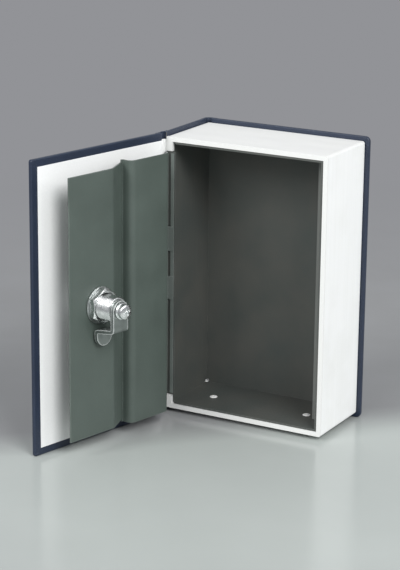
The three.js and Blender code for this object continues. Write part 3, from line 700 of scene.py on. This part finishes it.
# Lock plug: a zinc casting that turns in the barrel, with a keyway in its face and a square stub.
# Five brass wafers sit across the keyway.
PLUG = 6.0
PLUG_FACE, PLUG_END = -5.0, 31.2
KEYWAY_DEPTH = 24.0
keyway = [(-1.1, -4.2), (1.1, -4.2), (1.1, -1.2), (0.5, -0.8), (0.5, 0.4), (1.1, 0.8)]
keyway += [(1.1, 4.2), (-1.1, 4.2), (-1.1, 1.6), (-0.55, 1.2), (-0.55, 0.2), (-1.1, -0.2)]
STUB, STUB_END = 3.5, 33.9
bm = bmesh.new()
shell = []
for radius, height in (
    (5.6, PLUG_FACE),
    (5.9, PLUG_FACE + 0.1),
    (PLUG, PLUG_FACE + 0.4),
    (PLUG, PLUG_END - 0.2),
    (5.8, PLUG_END),
):
    shell.append([bm.verts.new(point) for point in circle(radius, height, 64)])
skin(bm, shell)
slot = [[bm.verts.new((x, y, PLUG_FACE + down)) for x, y in keyway] for down in (0, KEYWAY_DEPTH)]
bmesh.ops.triangle_fill(bm, use_beauty=True, edges=edges_round(bm, shell[0]) + edges_round(bm, slot[0]))
skin(bm, slot)
bm.faces.new(slot[1])
stub = []
for share, height in ((1.0, PLUG_END), (1.0, STUB_END - 0.2), (0.93, STUB_END)):
    half = STUB * share
    corners = ((half, half), (-half, half), (-half, -half), (half, -half))
    stub.append([bm.verts.new((x, y, height)) for x, y in corners])
bmesh.ops.triangle_fill(bm, use_beauty=True, edges=edges_round(bm, shell[-1]) + edges_round(bm, stub[0]))
skin(bm, stub)
bm.faces.new(stub[-1])
piece("plug", bm, LOCK, chrome, "lock_rotor", ["lock_plug"])

# Wafers: small brass stampings that slide across the plug.
# They are seen only through the keyway.
material, tree, surface, where = finish("stamped_brass")
rolled = noise(tree, where, 1.0, 3.0, (3000.0, 3000.0, 160.0))
brass = between(tree, spread(tree, rolled, 0.35, 0.65), (0.48, 0.35, 0.12, 1), (0.62, 0.47, 0.19, 1))
feed(surface, "Base Color", brass)
feed(surface, "Roughness", spread(tree, rolled, 0.3, 0.7, 0.28, 0.42))
surface.inputs["Metallic"].default_value = 1.0
relief(tree, surface, rolled, 0.00002, 0.3)
for number in range(1, 6):
    eased(f"wafer_{number}", f"brass_wafer_{number}", material, "lock_rotor", 0.08, 2)

# Cam: a cranked strip of zinc-plated steel on the plug's stub, with rounded ends.
# Its edges are painted bright, partly burnishing from the stamping and partly a painted highlight, and its
# plating is duller than the lock's.
ROLLED_LINES = (2200.0, 2200.0, 300.0)
cam_plate = plated_finish(
    "dull_zinc_plate", (0.36, 0.395, 0.38, 1), (0.24, 0.27, 0.26, 1), (0.3, 0.44), ROLLED_LINES, 0.6
)
tree = cam_plate.node_tree
surface = tree.nodes["Principled BSDF"]
dull = surface.inputs["Base Color"].links[0].from_socket
# Bright, less metallic edges: partly burnished, partly a painted highlight.
burnished_and_highlit_edges = spread(tree, edges_of(tree, 0.0011, 0.09), 0.1, 0.8, 0.0, 0.85)
feed(surface, "Base Color", between(tree, burnished_and_highlit_edges, dull, (0.86, 0.885, 0.875, 1)))
feed(surface, "Metallic", spread(tree, burnished_and_highlit_edges, 0.0, 1.0, 1.0, 0.25))
eased("cam", "cranked_cam", cam_plate, "lock_rotor", 0.4, 3, 36)

# Cam screw: a tall nickel-plated head with a collar and a cross recess, screwed into the plug.
# It clamps the cam on its stub.
SCREW_HEAD = 4.5
CROWN = 1.2
SCREW_SEAT, SCREW_TOP = 34.5, 39.3
RECESS_ARM, RECESS_HALF, RECESS_DEPTH = 2.45, 0.62, 1.25
RECESS_TURN = math.radians(20)
SHANK = 2.0
bm = bmesh.new()
rings = []
for step in range(1, 41):
    radius = SCREW_HEAD * 0.985 * step / 40
    crown = SCREW_TOP - CROWN + CROWN * math.sqrt(1 - (radius / (SCREW_HEAD * 1.02)) ** 2)
    ring = []
    for (x, y, _), (along, aside, _) in zip(circle(radius, 0, start=RECESS_TURN), circle(radius, 0)):
        arm, side = max(abs(along), abs(aside)), min(abs(along), abs(aside))
        inside_wall = max(0.0, min(1.0, (RECESS_HALF - side) / 0.18))
        inside_end = max(0.0, min(1.0, (RECESS_ARM - arm) / 0.5))
        ring.append(bm.verts.new((x, y, crown - RECESS_DEPTH * inside_wall * inside_end)))
    rings.append(ring)
middle = bm.verts.new((0, 0, SCREW_TOP - RECESS_DEPTH))
for one, two in zip(rings[0], rings[0][1:] + rings[0][:1]):
    bm.faces.new((middle, one, two))
COLLAR = SCREW_HEAD + 0.6
for radius, height in (
    (SCREW_HEAD, SCREW_TOP - CROWN),
    (SCREW_HEAD, SCREW_SEAT + 1.35),
    (SCREW_HEAD - 0.1, SCREW_SEAT + 1.25),
    (SCREW_HEAD - 0.1, SCREW_SEAT + 1.15),
    (COLLAR - 0.1, SCREW_SEAT + 1.05),
    (COLLAR, SCREW_SEAT + 0.9),
    (COLLAR, SCREW_SEAT + 0.15),
    (COLLAR - 0.1, SCREW_SEAT),
    (SHANK, SCREW_SEAT),
    (SHANK, SCREW_SEAT - 10.5),
    (1.2, SCREW_SEAT - 11.0),
):
    rings.append([bm.verts.new(point) for point in circle(radius, height, start=RECESS_TURN)])
skin(bm, rings)
bm.faces.new(rings[-1])
piece("pan_head_screw", bm, LOCK, nickel, "lock_rotor", ["cam_screw"], 40)

# Table top: a glossy pale sheet that the book stands on, which passes into a grey background.
# The floor keeps the book's shadow.
BACKDROP = (0.287, 0.291, 0.309, 1)


def looks_only(tree):
    """1 where a surface is seen, itself or in metal or through glass, and 0 where it gives light."""
    rays = tree.nodes.new("ShaderNodeLightPath").outputs
    seen = arithmetic(tree, "MAXIMUM", rays["Is Camera Ray"], rays["Is Glossy Ray"])
    return arithmetic(tree, "MAXIMUM", seen, rays["Is Transmission Ray"])


material, tree, surface, where = finish("pale_table")
flat_place = add(tree, "SeparateXYZ", {}, {"Vector": where})
across = arithmetic(tree, "MULTIPLY", flat_place.outputs["X"], 0.678)
line = arithmetic(tree, "SUBTRACT", across, arithmetic(tree, "MULTIPLY", flat_place.outputs["Y"], 0.735))
# Metres in front of the soft line where the pale table starts
pale = spread(tree, line, 0.02, 0.06)
mottle = noise(tree, where, 14.0, 4.0)
grey = between(tree, spread(tree, mottle, 0.3, 0.7), (0.285, 0.29, 0.292, 1), (0.305, 0.312, 0.316, 1))
table = between(tree, spread(tree, mottle, 0.3, 0.7), (0.405, 0.435, 0.418, 1), (0.422, 0.452, 0.435, 1))
feed(surface, "Base Color", between(tree, pale, grey, table))
feed(surface, "Roughness", spread(tree, mottle, 0.3, 0.7, 0.17, 0.2))
surface.inputs["Specular IOR Level"].default_value = 0.36
far = add(tree, "VectorMath", {"operation": "LENGTH"}, {0: where}).outputs["Value"]
shade = add(tree, "Emission", {}, {"Color": BACKDROP})
share = arithmetic(tree, "MULTIPLY", spread(tree, far, 0.24, 0.7), looks_only(tree))
blend = add(tree, "MixShader", {}, {0: share, 1: surface.outputs["BSDF"], 2: shade.outputs["Emission"]})
tree.links.new(blend.outputs["Shader"], tree.nodes["Material Output"].inputs["Surface"])
bm = bmesh.new()
bmesh.ops.create_grid(bm, x_segments=24, y_segments=24, size=7.0)
mesh = bpy.data.meshes.new("table")
bm.to_mesh(mesh)
bm.free()
mesh.materials.append(material)
table_top = bpy.data.objects.new("table", mesh)
bpy.context.scene.collection.objects.link(table_top)
table_top.location.z = -0.0001

# Studio light: four square soft boxes round the front of the book, and an even grey surround.
# The strong ones stand to the right and to the left of the camera, the weak ones at the
# fore-edge side and in front.
MIDDLE_OF_BOOK = Vector((0, -0.05, 0.08))
SOFT_BOX = 0.9


def soft_box(name, place, power):
    """A square lamp that faces the middle of the book, with its power in watts."""
    lamp = bpy.data.lights.new(name, "AREA")
    lamp.shape = "RECTANGLE"
    lamp.size = lamp.size_y = SOFT_BOX
    lamp.energy = power
    holder = bpy.data.objects.new(name, lamp)
    bpy.context.scene.collection.objects.link(holder)
    holder.location = place
    holder.rotation_euler = (MIDDLE_OF_BOOK - Vector(place)).to_track_quat("-Z", "Y").to_euler()


soft_box("soft_box_right", (1.36, -1.00, 1.37), 31.0)
soft_box("soft_box_side", (1.87, 0.28, 0.97), 7.5)
soft_box("soft_box_left", (-0.72, -1.59, 1.31), 21.5)
soft_box("soft_box_front", (0.0, -2.0, 0.87), 5.5)

world = bpy.data.worlds.new("studio")
bpy.context.scene.world = world
world.use_nodes = True
tree = world.node_tree
surround = tree.nodes["Background"]
surround.inputs["Color"].default_value = (0.94, 0.96, 1.0, 1)
surround.inputs["Strength"].default_value = 0.5
backdrop = add(tree, "Background", {}, {"Color": BACKDROP})
sockets = {0: looks_only(tree), 1: surround.outputs["Background"], 2: backdrop.outputs["Background"]}
choice = add(tree, "MixShader", {}, sockets)
tree.links.new(choice.outputs["Shader"], tree.nodes["World Output"].inputs["Surface"])
bpy.context.scene.view_settings.view_transform = "Standard"

# Camera: a long lens, a little above the book and to its right, level but for half a degree.
# It stands about 1.2 m away, so that the book's upright edges draw together a little.
lens = bpy.data.cameras.new("camera")
lens.sensor_width = 36.0
lens.lens = 126.158
lens.clip_start, lens.clip_end = 0.05, 30.0
camera = bpy.data.objects.new("camera", lens)
bpy.context.scene.collection.objects.link(camera)
camera.location = (0.54576, -1.08346, 0.42723)
camera.rotation_euler = [math.radians(degrees) for degrees in (73.922, -0.556, 29.46)]
bpy.context.scene.camera = camera

bpy.context.view_layer.update()
